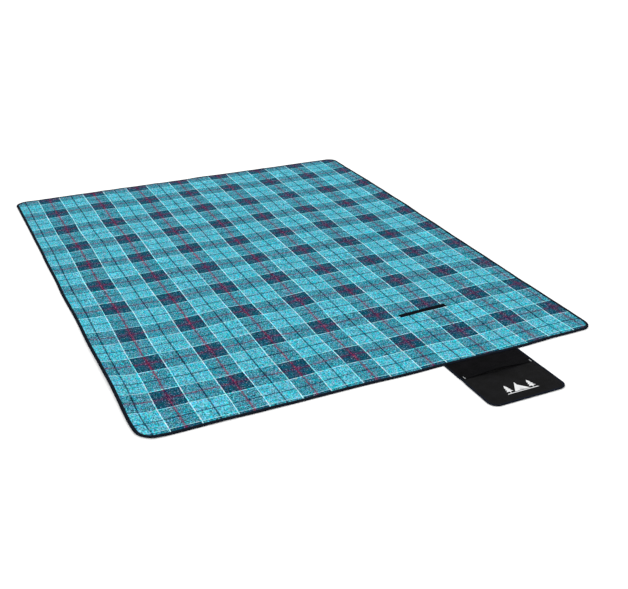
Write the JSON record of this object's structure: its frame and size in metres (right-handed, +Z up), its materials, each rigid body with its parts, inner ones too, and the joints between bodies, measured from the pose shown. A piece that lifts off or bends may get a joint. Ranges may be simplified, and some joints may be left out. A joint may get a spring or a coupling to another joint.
{
  "type": "camp blanket",
  "caption": "Padded plaid camp blanket lying open, foil backed and tape edged, that folds lengthwise in strips, with a carry flap, webbing handle and hook-and-loop closure.",
  "frame": {"origin": "on the ground, in the middle of the outline of the open blanket and its flap", "axes": "+Z up from the ground; +Y along the blanket, away from the flap; +X across it, to the right as seen from the flap"},
  "size_m": [2, 2.83, 0.0172],
  "materials": {
    "plaid_fleece": "napped woven plaid, matte",
    "polyethylene_foam": "fine closed-cell foam",
    "aluminised_film": "embossed silver film",
    "edge_tape": "woven polyester tape, stitched",
    "flap_cloth": "coated woven polyester",
    "flap_lining": "plain woven lining",
    "hook_and_loop_tape": "hook and loop pile on tape",
    "handle_webbing": "ribbed polyester webbing",
    "bartack_thread": "dense light stitching"
  },
  "bodies": {
    "second_fifth": {"top_fabric_2": "plaid_fleece", "foam_2": "polyethylene_foam", "backing_2": "aluminised_film", "edge_tape_near_2": "edge_tape", "edge_tape_far_2": "edge_tape"},
    "left_fifth": {"top_fabric_1": "plaid_fleece", "foam_1": "polyethylene_foam", "backing_1": "aluminised_film", "edge_tape_near_1": "edge_tape", "edge_tape_far_1": "edge_tape", "edge_tape_left": "edge_tape"},
    "middle_fifth": {"top_fabric_3": "plaid_fleece", "foam_3": "polyethylene_foam", "backing_3": "aluminised_film", "edge_tape_near_3": "edge_tape", "edge_tape_far_3": "edge_tape"},
    "fourth_fifth": {"top_fabric_4": "plaid_fleece", "foam_4": "polyethylene_foam", "backing_4": "aluminised_film", "edge_tape_near_4": "edge_tape", "edge_tape_far_4": "edge_tape", "loop_strip": "hook_and_loop_tape", "flap_seam_allowance": "flap_cloth"},
    "right_fifth": {"top_fabric_5": "plaid_fleece", "foam_5": "polyethylene_foam", "backing_5": "aluminised_film", "edge_tape_near_5": "edge_tape", "edge_tape_far_5": "edge_tape", "edge_tape_right": "edge_tape"},
    "flap": {"flap_root_outer": "flap_cloth", "flap_root_lining": "flap_lining", "flap_root_tape_left": "edge_tape", "flap_root_tape_right": "edge_tape", "handle_end_left": "handle_webbing", "handle_end_right": "handle_webbing", "bartack_left": "bartack_thread", "bartack_right": "bartack_thread"},
    "flap_tab": {"flap_tab_outer": "flap_cloth", "flap_tab_lining": "flap_lining", "flap_tab_tape_left": "edge_tape", "flap_tab_tape_right": "edge_tape", "flap_tab_tape_end": "edge_tape", "hook_strip": "hook_and_loop_tape"},
    "handle": {"handle_grip": "handle_webbing"}
  },
  "joints": [
    {"name": "fold_left_fifth", "type": "hinge", "parent": "second_fifth", "child": "left_fifth", "pos_m": [-0.6, 0.165, 0.011], "axis": [0, 1, 0], "range_deg": [0, 179.9]},
    {"name": "fold_middle_fifth", "type": "hinge", "parent": "second_fifth", "child": "middle_fifth", "pos_m": [-0.2, 0.165, 0.0185], "axis": [0, -1, 0], "range_deg": [0, 179.9]},
    {"name": "fold_fourth_fifth", "type": "hinge", "parent": "middle_fifth", "child": "fourth_fifth", "pos_m": [0.2, 0.165, -0.0015], "axis": [0, 1, 0], "range_deg": [0, 179.9]},
    {"name": "fold_right_fifth", "type": "hinge", "parent": "fourth_fifth", "child": "right_fifth", "pos_m": [0.6, 0.165, 0.0105], "axis": [0, -1, 0], "range_deg": [0, 179.9]},
    {"name": "flap_lift", "type": "hinge", "parent": "fourth_fifth", "child": "flap", "pos_m": [0.406, -1.086, 0.0035], "axis": [-1, 0, 0], "range_deg": [0, 90]},
    {"name": "flap_crease", "type": "hinge", "parent": "flap", "child": "flap_tab", "pos_m": [0.406, -1.21415, 0.0035], "axis": [-1, 0, 0], "range_deg": [0, 90]},
    {"name": "handle_lift", "type": "slide", "parent": "flap", "child": "handle", "axis": [0, 0, 1], "range_m": [0, 0.03]}
  ],
  "couplings": [
    {"joint": "fold_fourth_fifth", "follows": "fold_middle_fifth", "ratio": 1}
  ]
}
